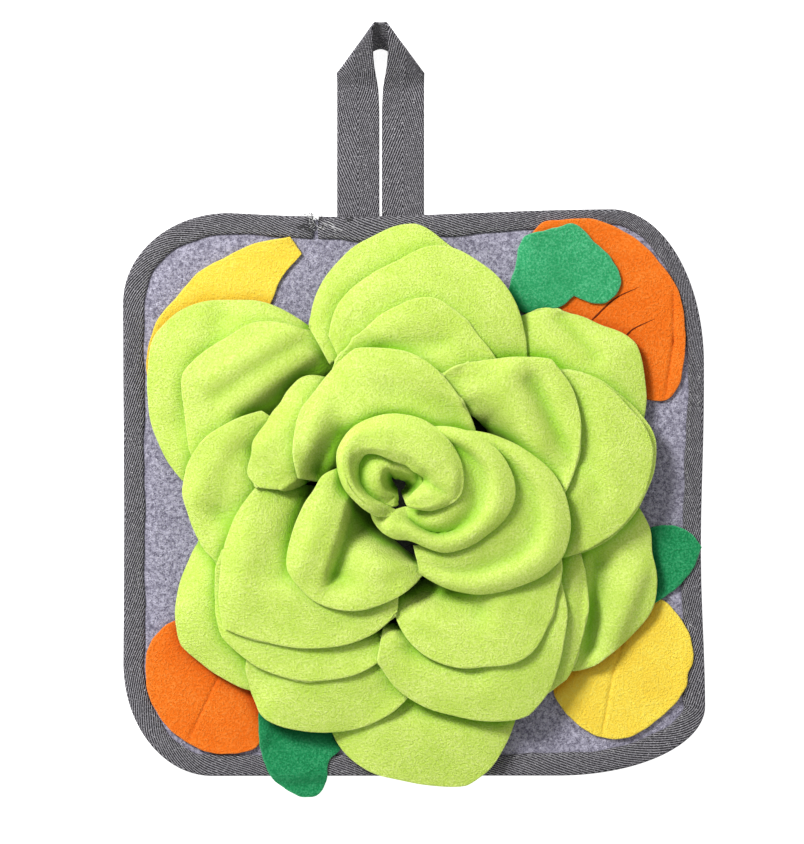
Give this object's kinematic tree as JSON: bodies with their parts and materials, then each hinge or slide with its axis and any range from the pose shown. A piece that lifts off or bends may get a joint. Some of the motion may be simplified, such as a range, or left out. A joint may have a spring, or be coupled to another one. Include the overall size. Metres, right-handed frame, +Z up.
{
  "type": "pet training mat",
  "caption": "Square felt pet training mat bound in tape, with a raised rose of lapped fleece petals that hides treats, flat fleece fruit and leaf shapes at its corners and a hanging loop.",
  "frame": {"origin": "centre of the mat's underside, on the surface that it lies on", "axes": "+Z up out of the surface, +Y towards the hanging loop, +X to the right seen from above"},
  "size_m": [0.3008, 0.4014, 0.0536],
  "materials": {
    "felt": "matte grey marl felt",
    "tape": "charcoal herringbone tape",
    "backing": "matte black cloth",
    "lime": "lime fleece",
    "yellow": "yellow fleece",
    "orange": "orange fleece",
    "leaf": "dark green fleece",
    "heart": "mid green fleece"
  },
  "bodies": {
    "root": {"felt_base": "felt", "edge_binding": "tape", "hanging_loop": "tape", "rose_backing": "backing", "banana_applique": "yellow", "yellow_disc_applique": "yellow", "carrot_applique": "orange", "orange_disc_applique": "orange", "heart_leaf_applique": "heart", "leaf_right_applique": "leaf", "leaf_bottom_applique": "leaf", "petal_outer_left_top": "lime", "petal_outer_left_low": "lime", "petal_outer_bottom": "lime", "petal_outer_right_low": "lime", "petal_outer_right_top": "lime", "petal_outer_top": "lime", "petal_lap_left_top": "lime", "petal_lap_top": "lime", "petal_lap_bottom_left": "lime", "petal_lap_right_back": "lime", "petal_lap_low_right": "lime", "petal_lap_left": "lime", "petal_mid_low_left_under": "lime", "petal_mid_low_right_under": "lime", "petal_mid_right_under": "lime", "petal_mid_top": "lime", "petal_mid_low_right": "lime", "petal_mid_low_left": "lime", "petal_mid_left": "lime", "petal_mid_right": "lime", "petal_inner_top": "lime", "petal_inner_low_left": "lime", "petal_bud_outer": "lime", "petal_bud_middle": "lime", "petal_bud_heart": "lime", "petal_bud_swirl": "lime"}
  },
  "joints": []
}
